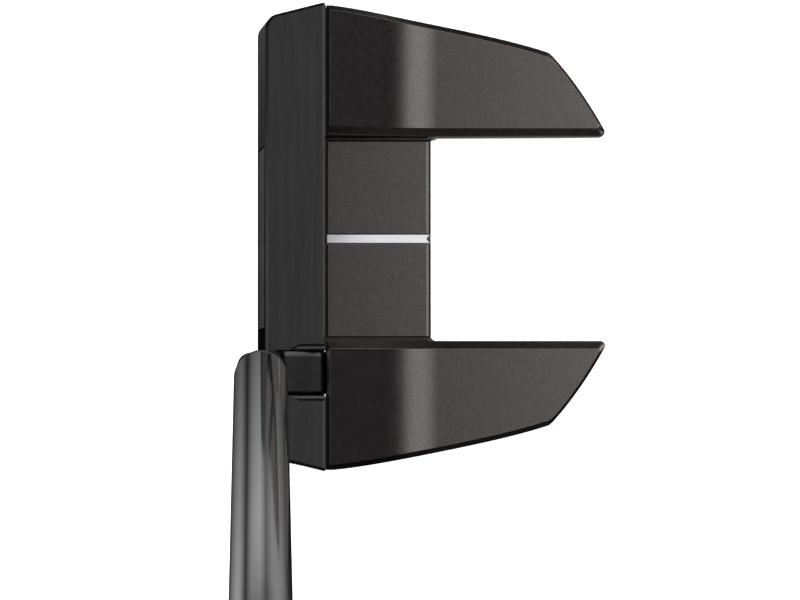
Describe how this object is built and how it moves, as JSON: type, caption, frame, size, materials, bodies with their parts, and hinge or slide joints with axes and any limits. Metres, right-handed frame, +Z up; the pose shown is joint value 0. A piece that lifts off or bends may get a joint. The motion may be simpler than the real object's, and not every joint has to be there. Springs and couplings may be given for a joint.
{
  "type": "mallet putter",
  "caption": "Right-handed golf putter with a squared two-prong mallet head, inlaid deck with a white sight line, slim curved neck, tapered steel shaft and pistol grip.",
  "frame": {"origin": "on the flat of the sole plate, at ground level under the sight line, 18 mm behind the leading edge", "axes": "+X from toe to heel (towards the player), +Y from the face to the back of the head, +Z up at address"},
  "size_m": [0.3689, 0.0853, 0.8386],
  "materials": {
    "dark_steel": "charcoal PVD coating, fine bead blast, satin",
    "insert_polymer": "dark grooved elastomer, matte",
    "bond_film": "adhesive film",
    "gunmetal_aluminium": "brown-grey gunmetal anodise, fine bead blast",
    "deck_aluminium": "brown-grey gunmetal anodise, fine bead blast",
    "white_inlay": "off-white paint fill",
    "sole_steel": "charcoal, brushed along the head",
    "screw_steel": "black oxide",
    "weight_metal": "turned dense metal, satin",
    "washer_rubber": "black, matte",
    "neck_steel": "charcoal PVD coating, satin",
    "black_chrome": "black chrome, polished with a soft sheen",
    "tape": "paper-backed double-sided tape",
    "grip_rubber": "black, fine moulded texture",
    "cap_rubber": "black, smooth matte"
  },
  "bodies": {
    "root": {"front_body": "dark_steel", "face_insert": "insert_polymer", "insert_bond": "bond_film", "rear_frame": "gunmetal_aluminium", "center_deck": "deck_aluminium", "sight_line": "white_inlay", "sole_plate": "sole_steel", "frame_screw_1": "screw_steel", "frame_screw_2": "screw_steel", "frame_screw_3": "screw_steel", "frame_screw_4": "screw_steel", "sole_screw_1": "screw_steel", "sole_screw_2": "screw_steel", "sole_screw_3": "screw_steel", "sole_screw_4": "screw_steel", "deck_screw_1": "screw_steel", "deck_screw_2": "screw_steel", "neck_screw": "screw_steel", "toe_weight": "weight_metal", "heel_weight": "weight_metal", "toe_weight_washer": "washer_rubber", "heel_weight_washer": "washer_rubber", "hosel_neck": "neck_steel", "shaft": "black_chrome", "grip_tape": "tape", "grip": "grip_rubber", "grip_cap": "cap_rubber"}
  },
  "joints": []
}
